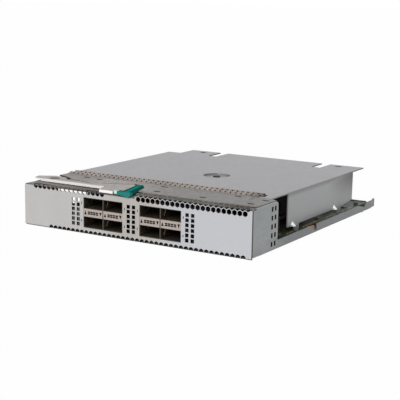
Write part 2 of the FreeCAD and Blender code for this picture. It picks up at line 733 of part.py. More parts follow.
# Spring finger strip across the cover
def finger_strip():
    front = d["strip_front"].value
    rear = strip_rear.value
    top = d["face_height"].value
    rise = d["strip_arch"].value
    thin = d["strip_sheet"].value
    left = -cover_half.value
    right = strip_right.value
    profile = [(front, 0.0)]
    slopes = []
    for ridge in (0, 1):
        start = front + (d["ridge_front"] + d["ridge_step"] * ridge).value
        crest = start + d["ridge_slope"].value
        back = crest + d["ridge_flat"].value
        profile += [(start, 0.0), (crest, rise), (back, rise), (back + d["ridge_slope"].value, 0.0)]
        slopes.append((start, crest))
    profile.append((rear, 0.0))
    section = []
    for lift, order in ((0.0, 1), (thin, -1)):
        section += [FreeCAD.Vector(left, y, top + lift + z) for y, z in profile[::order]]
    strip = Part.Face(Part.makePolygon(section + section[:1])).extrude(FreeCAD.Vector(right - left, 0, 0))
    pitch = d["finger_pitch"].value
    slit = d["finger_slit"].value
    slits = []
    for ridge, (low, high) in enumerate(slopes):
        for index in range(1, int((right - left) / pitch)):
            x = left + (index + 0.5 * ridge) * pitch - slit / 2
            slits.append(Part.makeBox(slit, high - low, rise + thin + 2, FreeCAD.Vector(x, low, top - 1)))
    node(feature("finger_strip", strip.cut(slits)), "finger_strip")


# Port cages, their receptacles and the light strips between the two port rows
def port_cage(side, name):
    middle = d["cage_spacing"] * (0.5 * side)
    front = d["cage_front"]
    rear = front + d["cage_depth"]
    wall = d["cage_wall"]
    cage = Piece("cage_" + name)
    cage.pad("XZ", front, rear, [rectangle(centred(middle, d["cage_width"]), (cage_low, d["cage_top"]))])
    columns = [(middle - d["cage_width"] / 2 + wall, middle - d["cage_web"] / 2),
               (middle + d["cage_web"] / 2, middle + d["cage_width"] / 2 - wall)]
    low_port = (cage_low + wall, cage_low + wall + d["port_height"])
    high_port = (d["cage_top"] - wall - d["port_height"], d["cage_top"] - wall)
    ports = [rectangle(x, z) for x in columns for z in (low_port, high_port)]
    cage.pocket("XZ", front, rear - wall, ports)
    between = (low_port[1] + wall, high_port[0] - wall)
    cage.pocket("XZ", front, rear - wall, [rectangle(x, between) for x in columns])
    cage.done()
    gap = d["fit_gap"]
    bars = []
    ends = [(middle - d["cage_width"] / 2, middle - d["bar_split"] / 2),
            (middle + d["bar_split"] / 2, middle + d["cage_width"] / 2)]
    for x, end in zip(columns, ends):
        high = (between[0] + gap, between[1] - gap)
        core = block("bar_core", (x[0] + gap, x[1] - gap), (front, front + 9), high)
        plate = block("bar_plate", end, (front - d["bar_plate"], front), (between[0] - gap, between[1] + gap))
        bars.append(joined("light_bar", [core, plate]))
    node(grouped("light_strip_" + name, bars), "light_strip_" + name)
    jacks = []
    for x in columns:
        for z in (low_port, high_port):
            base = block("jack", (x[0] + gap, x[1] - gap), (front + d["port_depth"], rear - wall - gap),
                         (z[0] + gap, z[1] - gap))
            slot_z = centred((z[0] + z[1]) / 2, 1.4)
            slot_y = (front + d["port_depth"] - 1, front + d["port_depth"] + 5)
            slot = block("jack_slot", (x[0] + 2.5, x[1] - 2.5), slot_y, slot_z)
            jacks.append(less("jack_body", base, slot))
    node(grouped("receptacles_" + name, jacks), "receptacles_" + name)


# Lever bay: the bracket under it, the ejector lever, its pivot, and the sprung latch at its free end
def lever_bracket():
    """A folded shelf that carries the pivot, joggled up to the cover behind and turned down at the side."""
    top = d["lever_floor"]
    thick = d["tray_sheet"]
    front = d["face_flange"] + d["fit_gap"]
    rear = d["arm_front"] + 22.6 + d["lever_gap"]
    shelf = [
        (front, top - thick), (rear, top - thick), (rear, cover_low - thick), (rear + 7, cover_low - thick),
        (rear + 7, cover_low), (rear - thick, cover_low), (rear - thick, top), (front, top),
    ]
    bracket = Piece("lever_bracket")
    left = -cover_half + 0.5
    bracket.pad("YZ", left, bay_right, [shelf])
    side = -side_inner
    wing = rectangle((front, d["pivot_y"] + 11), (top - thick, top))
    bracket.pad("YZ", side, left, [wing])
    tab = rectangle((front + 2, d["pivot_y"] + 8), (top - 9, top - thick))
    bracket.pad("YZ", side, side + thick, [tab])
    bracket.pocket("XY", top - thick - 1, top + 1, [(pivot_x, d["pivot_y"], d["pivot_radius"] + 0.02)])
    bracket.done()


def lever_outline():
    """The lever in plan: a cam end beyond the side, a slim arm and a wide free end."""
    arm = d["arm_front"]
    return [
        (-half + 1.5, arm), (paddle_left - 4.5, arm), (paddle_left, 0.3),
        (paddle_right, 0.3), (paddle_right, d["grip_cut"]), (bay_right - 15.0, d["grip_cut"] + 0.4),
        (bay_right - 19.8, arm + 17.5), (bay_right - 23.9, arm + 20.9),
        (bay_right - 55.9, arm + 6.3), (pivot_x + 12, arm + 8.3), (pivot_x + 6, d["pivot_y"] + 7),
        (pivot_x - 6, d["pivot_y"] + 9), (-half - 3.3, d["pivot_y"] + 1.7), (-half - 1.4, arm + 1.6),
    ]


def ejector_lever():
    lever = Piece("ejector_lever")
    lever.pad("XY", lever_low, lever_top, [lever_outline()])
    arm = d["arm_front"]
    sheet_size = d["lever_sheet"]
    lip_low = lever_top - d["lever_lip"]
    lip = [
        (-half + 6, arm), (paddle_left - 4.5, arm), (paddle_left, 0.3), (paddle_right, 0.3),
        (paddle_right, sheet_size + 0.3), (paddle_left + 0.9, sheet_size + 0.3),
        (paddle_left - 3.6, arm + sheet_size), (-half + 6, arm + sheet_size),
    ]
    lever.pad("XY", lip_low, lever_low, [lip])
    ear_y = (d["latch_pin_y"] - 3, d["latch_pin_y"] + 4)
    ear_top = latch_low + 0.7
    ear_low = d["lever_floor"] + 0.3
    lever.pad("XY", ear_low, ear_top, [rectangle((paddle_right - 1.2, latch_pin_x + 4), ear_y)])
    lever.pad("XY", ear_top, lever_low, [rectangle((paddle_right - 1.2, paddle_right), ear_y)])
    lever.pocket("XY", lip_low, lever_top + 1, [(pivot_x, d["pivot_y"], d["pivot_radius"] + d["pivot_gap"])])
    lever.pocket("XY", lever_top - 0.6, lever_top + 1, [(pivot_x, d["pivot_y"], d["pivot_head"] + 0.4)])
    lever.pocket("XY", ear_low - 1, ear_top + 0.5, [(latch_pin_x, d["latch_pin_y"], d["latch_pin_radius"])])
    lever.done()


def pivot_parts():
    x, y = pivot_x, d["pivot_y"]
    pin_low = d["lever_floor"] - d["tray_sheet"] - 0.8
    head_low = lever_top - 0.6 + d["pivot_gap"]
    shank = post("pivot_shank", x, y, (pin_low, head_low), d["pivot_radius"])
    head = prism("pivot_cap", x, y, (head_low, lever_top - 0.05), d["pivot_head"], 20)
    foot_top = d["lever_floor"] - d["tray_sheet"]
    foot = prism("pivot_foot", x, y, (pin_low, foot_top), d["pivot_radius"] + 1.1, 8)
    node(joined("lever_rivet", [shank, head, foot]), "lever_rivet")
    disc_top = lever_low - d["pivot_gap"]
    disc = prism("washer_disc", x, y, (d["lever_floor"], disc_top), d["pivot_head"] + 0.6, 12)
    hole = post("washer_hole", x, y, (d["lever_floor"] - 1, lever_top), d["pivot_radius"] + 0.02)
    node(less("lever_washer", disc, hole), "lever_washer")


def release_latch():
    """A grip across the lever's cut, a tongue towards the paddle, and an arm back to the pin."""
    latch = Piece("release_latch")
    pin_x, pin_y = latch_pin_x, d["latch_pin_y"]
    grip_left = bay_right - d["grip_left"]
    tongue_left = bay_right - d["tongue_left"]
    behind = -d["fit_gap"] * 3
    arm_low = latch_low + 0.7 + d["pivot_gap"]
    arm = [
        (grip_left, behind), (bay_right - 3.2, behind), (bay_right - 2.9, 1.4), (bay_right - 4.2, 4.6),
        (bay_right - 9.5, pin_y), (bay_right - 12.4, pin_y + 4.0), (bay_right - 16.0, pin_y + 6.6),
        (bay_right - 18.1, pin_y + 5.6), (bay_right - 17.8, pin_y + 2.6), (bay_right - 12.4, 3.3),
        (grip_left, 3.3),
    ]
    latch.pad("XY", arm_low, latch_top, [arm])
    latch.pad("XY", latch_low, arm_low, [arm[:4] + [(bay_right - 4.6, 6.0), (grip_left, 3.3)]])
    latch.pad("XY", latch_low + 0.5, latch_top, [rectangle((tongue_left, grip_left), (behind, 2.2))])
    grip = [
        (grip_left, latch_top), (grip_left, latch_low + 0.4), (bay_right - 10.2, latch_low - 0.2),
        (bay_right - 5.2, latch_low - 1.0), (bay_right - 4.0, latch_low - 0.2),
        (bay_right - 3.2, latch_low + 1.1), (bay_right - 3.2, latch_top),
    ]
    latch.pad("XZ", -d["grip_out"], behind, [grip])
    bore = d["latch_pin_radius"] + d["pivot_gap"]
    latch.pocket("XY", latch_low, latch_top + 1, [(pin_x, pin_y, bore)])
    latch.done()
    radius = d["latch_pin_radius"]
    shank = post("latch_shank", pin_x, pin_y, (d["lever_floor"] + 0.3, latch_top + 0.1), radius)
    head = prism("latch_head", pin_x, pin_y, (latch_top + 0.02, latch_top + 0.5), radius + 0.9, 12)
    node(joined("latch_pin", [shank, head]), "latch_pin")


# Main board, the parts on it and what holds it
def main_board():
    board = Piece("main_board")
    edge = board_half
    inner = cover_half - d["cover_sheet"] - 0.5
    right = []
    for index in (0, 1):
        front = d["foot_front"] + d["foot_pitch"] * index - 0.5
        back = front + d["foot_width"] + 1
        right += [(edge, front), (inner, front), (inner, back), (edge, back)]
    left = [(-x, y) for x, y in reversed(right)]
    rear = d["board_rear"]
    outline = [(-edge, d["board_front"]), (edge, d["board_front"])] + right
    outline += [(edge, rear), (-edge, rear)] + left
    board.pad("XY", board_low, board_top, [outline])
    holes = [ring(as_size(x), as_size(y), d["screw_radius"] + 0.2, 8) for x, y in board_screws()]
    board.pocket("XY", board_low - 0.5, board_top + 0.5, holes)
    board.done()


def board_screws():
    """Places of the main board's screws."""
    edge = board_half - 6
    return [(-edge, 66), (edge, 66), (-edge, 140), (edge, 140), (-edge, 196), (edge, 196), (0, 58), (0, 196)]


def board_fixings():
    shoulders = []
    screws = []
    for x, y in board_screws():
        shoulders.append(prism("standoff", x, y, (tray_floor, board_low), d["screw_head"], 6))
        shank = prism("screw_shank", x, y, (board_low, board_top), d["screw_radius"], 8)
        head = prism("screw_cap", x, y, (board_top, board_top + d["screw_head_rise"]), d["screw_head"], 6)
        screws.append(joined("board_screw", [shank, head]))
    node(grouped("board_standoffs", shoulders), "board_standoffs")
    node(grouped("board_screws", screws), "board_screws")


def cover_post():
    """The pillar and screw that hold the cover at its dished seat."""
    x, y = d["dimple_x"], d["dimple_y"]
    seat = d["face_height"] - d["dimple_drop"]
    top = seat - d["cover_sheet"]
    node(prism("pillar_body", x, y, (board_top, top), d["screw_head"] + 0.4, 6), "cover_pillar")
    shank = prism("cover_shank", x, y, (top, seat), d["screw_radius"], 8)
    head = prism("cover_cap", x, y, (seat, seat + d["screw_head_rise"]), d["screw_head"] + 0.2, 12)
    node(joined("cover_screw", [shank, head]), "cover_screw")


def heat_sink(name, middle, width, y, height, lifted):
    """A finned sink on a chip: fins run from front to rear."""
    low = board_top + lifted
    sink = Piece(name)
    base_top = low + d["sink_base"]
    sides = centred(middle, width)
    outline = [(sides[0], base_top), (sides[0], low), (sides[1], low), (sides[1], base_top)]
    count = int((as_size(width).value - d["sink_fin"].value) / d["sink_pitch"].value) + 1
    first = middle - (d["sink_pitch"] * (count - 1)) / 2
    for index in reversed(range(count)):
        x = first + d["sink_pitch"] * index
        fin = centred(x, d["sink_fin"])
        outline += [(fin[1], base_top), (fin[1], low + height), (fin[0], low + height), (fin[0], base_top)]
    sink.pad("XZ", y[0], y[1], [outline])
    sink.done()


def board_parts():
    sinks = (("left_heat_sink", -42.0, 52, (100, 152)), ("right_heat_sink", 48.0, 52, (100, 152)))
    chips = []
    for name, middle, width, span in sinks:
        middle = as_size(middle)
        chips.append(block("switch_chip", centred(middle, 34), (span[0] + 9, span[1] - 9),
                           (board_top, board_top + d["chip_height"])))
        heat_sink(name, middle, width, span, d["sink_height"], d["chip_height"])
    node(grouped("switch_chips", chips), "switch_chips")
    retimers = []
    for side in (-1, 1):
        middle = d["cage_spacing"] * (0.5 * side)
        for x in (-10, 10):
            retimers.append(block("retimer", centred(middle + x, 13), (62, 75),
                                  (board_top, board_top + d["chip_height"])))
    node(grouped("retimer_chips", retimers), "retimer_chips")
    coils = []
    cans = []
    for index in range(4):
        x = -66 + 15 * index
        coils.append(block("coil", centred(as_size(x), 9), (164, 173), (board_top, board_top + 5)))
        cans.append(prism("can", x, 182, (board_top, board_top + 8), 3.2, 8))
    for index in range(3):
        x = 40 + 14 * index
        coils.append(block("coil", centred(as_size(x), 9), (164, 173), (board_top, board_top + 5)))
        cans.append(prism("can", x, 182, (board_top, board_top + 8), 3.2, 8))
    node(grouped("power_inductors", coils), "power_inductors")
    node(grouped("capacitors", cans), "capacitors")


def rear_connectors():
    rear = d["board_rear"] + 1
    for name, middle, width in (("signal_connector_left", -28.0, 36), ("signal_connector_right", 26.0, 36),
                                ("power_connector", -64.0, 18)):
        x = centred(as_size(middle), width)
        shell = Piece(name)
        top = board_top + d["plug_height"]
        shell.pad("YZ", x[0], x[1], [[(rear - 18, board_top), (rear, board_top), (rear, top),
                                      (rear - 12, top), (rear - 18, top - 7)]])
        slots = []
        count = int(width / 3.0)
        for index in range(count):
            slot_x = x[0] + 1.2 + index * 3.0
            slots.append(rectangle((slot_x, slot_x + 1.4), (board_top + 2, top - 2)))
        shell.pocket("XZ", rear - 8, rear + 1, slots)
        shell.done()
    for name, middle in (("guide_socket_left", -board_half + 13), ("guide_socket_right", board_half - 33)):
        x = centred(middle, 14)
        z = (board_top, board_top + 14)
        socket = Piece(name)
        socket.pad("XZ", rear - 20, rear, [rectangle(x, z)])
        socket.pocket("XZ", rear - d["guide_depth"], rear + 1, [(middle, board_top + 7, d["guide_radius"])])
        socket.done()
    across = (board_half - 3.6, board_half - 1)
    header = block("edge_header", across, (210.4, 213.8), (board_top, board_top + 3.1))
    node(header, "edge_header")


def ground_springs():
    """A bent-up bronze tab that fills each rail notch from inside, on a foot on the tray's raised strip."""
    for side, name in ((-1, "left"), (1, "right")):
        spring = Piece("ground_spring_" + name)
        front = d["rail_notch"]
        rear = d["rail_notch_end"] - 1.5
        low = joggle_top
        tab = [(front + 3, low), (rear, low), (rear + 0.1, low + 3.4), (rear - 1.5, low + 4.3),
               (front + 1.5, low + 5.2), (front + 1.5, low + 3.6)]
        outer = (side_inner - 0.4) * side
        inner = (side_inner - 0.8) * side
        foot = (joggle_inner + 0.1) * side
        span = (inner, outer) if side > 0 else (outer, inner)
        spring.pad("YZ", span[0], span[1], [tab])
        spring.pad("XY", low, low + 0.4, [rectangle((foot, outer), (front + 5, rear - 2))])
        spring.done()


def doc_check():
    """Stop on a failed object or an unsound shape."""
    doc.recompute()
    for item in doc.Objects:
        if "Invalid" in item.State or "Error" in item.State:
            raise RuntimeError("%s: %s" % (item.Label, item.State))
    for item in nodes:
        if item.Shape.isNull() or not item.Shape.isValid():
            raise RuntimeError("%s has no sound shape" % item.Label)


faceplate()
base_tray()
top_cover()
finger_strip()
port_cage(-1, "left")
port_cage(1, "right")
lever_bracket()
ejector_lever()
pivot_parts()
release_latch()
main_board()
board_fixings()
cover_post()
board_parts()
rear_connectors()
ground_springs()
doc_check()
total = 0
for item in nodes:
    item.Shape.exportStep("parts/%s.step" % item.Label)
    faces = len(item.Shape.tessellate(0.1)[1])
    total += faces
    box = item.Shape.BoundBox
    spans = (box.XMin, box.XMax, box.YMin, box.YMax, box.ZMin, box.ZMax)
    print("%-22s solids %2d  triangles %5d" % (item.Label, len(item.Shape.Solids), faces),
          " x %.1f..%.1f  y %.1f..%.1f  z %.1f..%.1f" % spans)
print("nodes", len(nodes), "triangles", total)
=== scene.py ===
import math
import random

import bmesh
import bpy
from mathutils import Matrix, Vector


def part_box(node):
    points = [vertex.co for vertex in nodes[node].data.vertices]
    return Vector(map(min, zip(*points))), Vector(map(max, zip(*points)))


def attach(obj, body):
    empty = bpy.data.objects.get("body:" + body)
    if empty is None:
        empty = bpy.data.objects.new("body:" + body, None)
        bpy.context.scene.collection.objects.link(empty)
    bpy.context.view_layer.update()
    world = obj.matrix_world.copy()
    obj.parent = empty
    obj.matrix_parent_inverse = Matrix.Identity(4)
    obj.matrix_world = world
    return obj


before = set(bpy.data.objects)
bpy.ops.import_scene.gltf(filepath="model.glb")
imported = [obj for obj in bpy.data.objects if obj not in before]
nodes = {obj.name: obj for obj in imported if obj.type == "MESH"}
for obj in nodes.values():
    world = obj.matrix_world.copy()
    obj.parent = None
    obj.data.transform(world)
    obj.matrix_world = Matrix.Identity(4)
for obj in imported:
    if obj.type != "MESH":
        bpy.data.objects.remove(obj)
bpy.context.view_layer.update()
mm = 0.001
print("frame loaded:", len(nodes), "nodes")


def tint(red, green, blue):
    # a screen colour of 0 to 255 as the linear colour that a shader takes
    parts = []
    for value in (red, green, blue):
        value = value / 255
        parts.append(value / 12.92 if value <= 0.04045 else ((value + 0.055) / 1.055) ** 2.4)
    return (*parts, 1.0)


class Wire:
    # one socket of a node tree, so that shader maths reads as plain expressions
    def __init__(self, graph, socket):
        self.graph = graph
        self.socket = socket

    def join(self, operation, left, right):
        return self.graph.add("ShaderNodeMath", {"operation": operation}, {0: left, 1: right})

    def __add__(self, other):
        return self.join("ADD", self, other)

    def __radd__(self, other):
        return self.join("ADD", other, self)

    def __sub__(self, other):
        return self.join("SUBTRACT", self, other)

    def __rsub__(self, other):
        return self.join("SUBTRACT", other, self)

    def __mul__(self, other):
        return self.join("MULTIPLY", self, other)

    def __rmul__(self, other):
        return self.join("MULTIPLY", other, self)

    def __gt__(self, other):
        return self.join("GREATER_THAN", self, other)

    def __lt__(self, other):
        return self.join("LESS_THAN", self, other)


class Graph:
    # the nodes of one tree
    def __init__(self, tree):
        self.tree = tree

    def add(self, kind, settings, values, output=0):
        # any node: its settings or a ramp's stops first, then the values or wires of its sockets
        made = self.tree.nodes.new(kind)
        for key, value in settings.items():
            if key != "stops":
                setattr(made, key, value)
                continue
            elements = made.color_ramp.elements
            while len(elements) < len(value):
                elements.new(0.5)
            for element, (position, shade) in zip(elements, value):
                element.position = position
                element.color = shade
        for key, value in values.items():
            if isinstance(value, Wire):
                self.tree.links.new(value.socket, made.inputs[key])
            else:
                made.inputs[key].default_value = value
        return Wire(self, made.outputs[output])

    def either(self, first, second):
        return self.add("ShaderNodeMath", {"operation": "MAXIMUM"}, {0: first, 1: second})

    def within(self, wire, low, high):
        return (wire > low) * (wire < high)

    def spread(self, wire, low, high, newLow=0.0, newHigh=1.0):
        return self.add("ShaderNodeMapRange", {}, {0: wire, 1: low, 2: high, 3: newLow, 4: newHigh})


class Finish(Graph):
    # one procedural material, built node by node
    def __init__(self, name, metallic, roughness):
        self.material = bpy.data.materials.new(name)
        self.material.use_nodes = True
        super().__init__(self.material.node_tree)
        self.shader = self.tree.nodes["Principled BSDF"]
        self.send("Metallic", metallic)
        self.send("Roughness", roughness)

    def send(self, socket, wire):
        # a wire or a plain value into one of the shader's own sockets
        if isinstance(wire, Wire):
            self.tree.links.new(wire.socket, self.shader.inputs[socket])
        else:
            self.shader.inputs[socket].default_value = wire
        return self

    def place(self):
        # where a point of the object is, in metres
        return self.add("ShaderNodeTexCoord", {}, {}, "Object")

    def axis(self, name):
        return self.add("ShaderNodeSeparateXYZ", {}, {0: self.place()}, "XYZ".index(name))

    def facing(self, name):
        # which way the surface faces, along one of the object's own axes
        turned = self.add("ShaderNodeTexCoord", {}, {}, "Normal")
        return self.add("ShaderNodeSeparateXYZ", {}, {0: turned}, "XYZ".index(name))

    def spot(self, centre, near, far):
        # 1 inside a round spot seen from above, fading to 0 between two radii
        shift = {0: self.place(), 1: (*centre, 0.0)}
        away = self.add("ShaderNodeVectorMath", {"operation": "SUBTRACT"}, shift)
        flat = self.add("ShaderNodeVectorMath", {"operation": "MULTIPLY"}, {0: away, 1: (1.0, 1.0, 0.0)})
        reach = self.add("ShaderNodeVectorMath", {"operation": "LENGTH"}, {0: flat}, "Value")
        return self.spread(reach, near, far, 1.0, 0.0)

    def stretch(self, x, y, z):
        return self.add("ShaderNodeMapping", {}, {"Vector": self.place(), "Scale": (x, y, z)})

    def noise(self, scale, detail, rough, where=None):
        values = {"Vector": where or self.place(), "Scale": scale, "Detail": detail, "Roughness": rough}
        return self.add("ShaderNodeTexNoise", {}, values, "Fac")

    def blend(self, factor, first, second):
        return self.add("ShaderNodeMix", {"data_type": "RGBA"}, {0: factor, 6: first, 7: second}, 2)

    def bump(self, height, strength, distance):
        values = {"Height": height, "Strength": strength, "Distance": distance}
        return self.send("Normal", self.add("ShaderNodeBump", {}, values))


# What every sheet and moulding shares: a broad cloud, a fine grain and their part in colour, gloss and relief
sheet = {"cloud": (38, 4, 0.6), "cloudBand": (0.35, 0.7), "cloudShare": 0.55, "fine": (1, 3, 0.6),
         "fineBand": (0.3, 0.7), "fineShare": 0.45, "gloss": (-0.06, 0.07), "relief": (0.12, 0.0002),
         "grain": (900, 900, 900)}


def sheetFinish(name, tones, metallic, roughness, grain=sheet["grain"], speck=0.0):
    # rolled and plated sheet: a faint cloud and fine grain
    made = Finish(name, metallic, roughness)
    cloud = made.noise(*sheet["cloud"])
    fine = made.noise(*sheet["fine"], made.stretch(*grain))
    cloudy = made.spread(cloud, *sheet["cloudBand"]) * sheet["cloudShare"]
    mix = cloudy + made.spread(fine, *sheet["fineBand"]) * (sheet["fineShare"] + speck)
    made.colour = made.blend(mix, *tones)
    made.send("Base Color", made.colour)
    glossy, dull = (roughness + step for step in sheet["gloss"])
    made.send("Roughness", made.spread(fine, *sheet["fineBand"], glossy, dull))
    return made.bump(fine, *sheet["relief"])


blotch = {"scale": 420, "detail": 3, "rough": 0.65, "squash": (1, 0.45, 1), "band": (0.38, 0.62)}


def mottle(made, light, dark, scale=blotch["scale"]):
    # a mottled patch between two tones, used for duller parts of a sheet and for mottled painted light and
    # shade
    cloud = made.noise(scale, blotch["detail"], blotch["rough"], made.stretch(*blotch["squash"]))
    return made.blend(made.spread(cloud, *blotch["band"]), light, dark)


# How far a surface has to face along an axis: square on, aslant, or just inwards
square, aslant, inwards = 0.5, 0.3, 0.01
innerShade = tint(34, 29, 26)  # the plated sheet's inner side

# The faceplate. Every place and height in a finish is in metres.
faceLook = {
    "tones": (tint(188, 186, 185), tint(181, 179, 178)), "rough": 0.45,
    # painted light: a cooler tint to the right, where the lamp lights the face more
    "lampTint": tint(188, 190, 194), "lampTintFrom": (0.0, 0.055),
    "warm": tint(178, 173, 168), "warmLeft": (-0.028, -0.012), "warmRight": (0.032, 0.016),
    # painted shade on the top return, which takes less of the light from the front
    "flange": (tint(118, 112, 107), tint(81, 76, 72)), "lip": 0.0012, "level": 0.0361, "upper": 0.033,
    "shaded": tint(60, 56, 53), "bay": (-0.082, -0.054), "bayEnd": -0.025,
    "rightEnd": (0.07, 0.09), "rightShare": 0.8,
    # painted shade on the vent walls, the rear and the inner sides, over their dark bare cut edges
    "hiddenShade": tint(16, 14, 13), "skin": 0.0005, "lower": 0.01, "backTop": 0.03,
    "lit": (-0.083, -0.047), "litAbove": 0.0255,
}


def faceFinish():
    # powder coat with painted light and shade: a cooler tint towards the right where the lamp lights it more,
    # painted shade on the vent walls and inner sides over their dark bare cut edges, and painted shade on the
    # mottled top return
    own = faceLook
    made = sheetFinish("paintedFace", own["tones"], 0.0, own["rough"])
    across, deep, high = (made.axis(name) for name in "XYZ")
    x, y, z = (made.facing(name) for name in "XYZ")
    # painted light: the face turns cooler towards the right
    made.colour = made.blend(made.spread(across, *own["lampTintFrom"]), made.colour, own["lampTint"])
    between = made.spread(across, *own["warmLeft"]) * made.spread(across, *own["warmRight"])
    made.colour = made.blend(between, made.colour, own["warm"])
    # painted shade: vent walls, rear and inner undersides, partly their own dark bare cut edges
    hole = made.either(x > aslant, x < -aslant) * (high < own["level"])
    back = (y < -square) * (deep > own["skin"])
    low = made.either((z < -square) * (high > own["skin"]), (z > square) * (high < own["lower"]))
    hidden = made.either(made.either(hole, y > square), made.either(low, back * (high < own["backTop"])))
    behind = made.either((high > own["level"]) * (deep > own["lip"]), back * (high > own["backTop"]))
    top = made.either((z > square) * (high > own["upper"]), behind)
    # daylight from the open left side falls on the walls of the vents over the bay
    lit = made.within(across, *own["lit"]) * (high > own["litAbove"])
    shadow = made.blend(lit, own["hiddenShade"], own["flange"][0])
    # painted shade on the mottled top return, darkest in the bay under the lever and towards its right end
    bay = made.spread(across, *own["bay"]) * (across < own["bayEnd"])
    bay = made.either(bay, made.spread(across, *own["rightEnd"]) * own["rightShare"])
    dull = made.blend(bay, mottle(made, *own["flange"]), own["shaded"])
    colour = made.blend(top, made.colour, dull)
    return made.send("Base Color", made.blend(hidden, colour, shadow))


# The air cover: its rear part, the duller front part, and what is cut or pressed into it
coverLook = {
    "tones": (tint(153, 152, 155), tint(146, 145, 148)),
    "metallic": 0.2, "rough": 0.42, "grain": (120, 700, 700),
    # the right wall's own tone is painted light, and its darkening towards the rear top and bend is painted
    # shade
    "wall": tint(162, 163, 164), "shadeBack": (0.15, 0.2), "shadeUp": (0.012, 0.032),
    "bend": (0.0325, 0.0352), "bendShare": 0.5,
    "front": (tint(158, 152, 147), tint(122, 116, 112)), "frontRear": 0.0452,
    "right": (tint(116, 112, 110), tint(92, 88, 86)), "rightFrom": (-0.04, 0.02),
    "corner": tint(110, 105, 101), "cornerFrom": (-0.052, -0.064),
    "slots": (0.0145, 0.06), "slotLevel": 0.035, "seam": 0.102,
    "rolled": tint(88, 84, 81), "rolledLeft": -0.045, "rolledRear": 0.033,
    "ring": tint(84, 81, 84), "rings": ((-0.0666, 0.219), (0.075, 0.220)), "ringSize": (0.0026, 0.0048),
    "pan": (tint(150, 150, 152), tint(118, 118, 120)), "seat": (0.0104, 0.112), "seatSize": (0.0108, 0.0122),
    "gleamAside": 0.0042, "gleamSize": (0.0012, 0.0044),
    "recessShade": (-0.003, 0.0349), "recessShadeSize": (0.0009, 0.0015),
    "dart": tint(250, 250, 250), "darts": (0.0838, 0.1647), "dartHalf": 0.0022, "dartSide": 0.0964,
    "dartTop": 0.016,
}


def coverFinish():
    # the main sheet behind, a duller mottled front part, darts in painted highlight, and painted shade in the
    # slots and on the inner sides
    own = coverLook
    made = sheetFinish("platedCover", own["tones"], own["metallic"], own["rough"], own["grain"])
    x, y, z = (made.facing(name) for name in "XYZ")
    side, deep, high = (made.axis(name) for name in "XYZ")
    ahead = (deep < own["frontRear"]) * (z > square)
    inside = made.either((x * side) < -inwards, z < -square)
    slots = made.within(deep, *own["slots"]) * (high > own["slotLevel"])
    slots = made.either(y < -square, y > square) * slots
    # painted shade on the skirt's outer face, seen through the slit at the right
    seam = (x > square) * (side > own["seam"])
    feet = made.either(side > own["dartSide"], side < -own["dartSide"]) * (high < own["dartTop"])
    darts = [made.within(deep, place - own["dartHalf"], place + own["dartHalf"]) for place in own["darts"]]
    pressed = feet * made.either(*darts)
    front, right = mottle(made, *own["front"]), mottle(made, *own["right"])
    corner = mottle(made, own["corner"], own["front"][1])
    dull = made.blend(made.spread(side, *own["rightFrom"]), front, right)
    dull = made.blend(made.spread(side, *own["cornerFrom"]), dull, corner)
    # painted light and shade on the right wall: a lighter tone of its own, darkening towards its rear top and
    # along its bend
    shade = made.spread(deep, *own["shadeBack"]) * made.spread(high, *own["shadeUp"])
    bend = made.spread(high, *own["bend"]) * own["bendShare"]
    wall = made.blend(made.either(shade, bend), own["wall"], own["right"][1])
    colour = made.blend(x > square, made.colour, wall)
    for centre in own["rings"]:
        colour = made.blend(made.spot(centre, *own["ringSize"]) * (z > square), colour, own["ring"])
    # the screw's seat is dished: painted shade on its slopes, with a painted highlight at its left
    seat = own["seat"]
    pan = made.spot(seat, *own["seatSize"]) * (z > aslant)
    gleam = made.spot((seat[0] - own["gleamAside"], seat[1]), *own["gleamSize"])
    colour = made.blend(pan, colour, made.blend(gleam, mottle(made, *own["pan"]), own["tones"][0]))
    # a small spot of painted shade where the recess shows dark at the latch arm's end
    recessShade = made.spot(own["recessShade"], *own["recessShadeSize"])
    colour = made.blend(ahead, colour, made.blend(recessShade, dull, innerShade))
    edge = slots * (side < own["rolledLeft"]) * (deep < own["rolledRear"])
    # painted shade on the inner sides, in the slots and behind the seam
    hiddenShade = made.blend(edge, innerShade, own["rolled"])
    colour = made.blend(made.either(inside, made.either(slots, seam)), colour, hiddenShade)
    # the darts' slopes are painted as highlights
    return made.send("Base Color", made.blend(pressed, colour, own["dart"]))


# The tray: its low rails, rear ears, front feet and side slots
trayLook = {
    "tones": (tint(156, 160, 160), tint(146, 149, 149)),
    "metallic": 0.25, "rough": 0.42, "grain": (700, 120, 700), "speck": 0.1,
    "rail": tint(118, 121, 122), "railBack": (0.015, 0.06), "railTop": 0.0098,
    "rearFrom": 0.205, "rearShare": 0.25,
    "footUp": (0.013, 0.002), "footBack": (0.034, 0.012), "footShare": 0.45,
    "slots": (0.028, 0.0395), "slotTop": 0.036,
}


def trayFinish():
    # plated sheet with painted shade: darker on its low rails towards the rear, at the rear end and at the
    # side plate's lower front, and dark on its inner side and in its slots
    own = trayLook
    made = sheetFinish("platedTray", own["tones"], own["metallic"], own["rough"], own["grain"], own["speck"])
    x, y, z = (made.facing(name) for name in "XYZ")
    side, deep, high = (made.axis(name) for name in "XYZ")
    # painted shade on the low rails, the rear end and the side plate's lower front
    low = made.spread(deep, *own["railBack"]) * (high < own["railTop"])
    low = made.either(low, (deep > own["rearFrom"]) * own["rearShare"])
    foot = made.spread(high, *own["footUp"]) * made.spread(deep, *own["footBack"]) * own["footShare"]
    low = made.either(low, foot)
    slot = made.either(y < -square, z > square) * made.within(deep, *own["slots"]) * (high < own["slotTop"])
    inside = made.either((x * side) < -inwards, made.either(slot, y > square))
    colour = made.blend(low, made.colour, own["rail"])
    return made.send("Base Color", made.blend(inside, colour, innerShade))


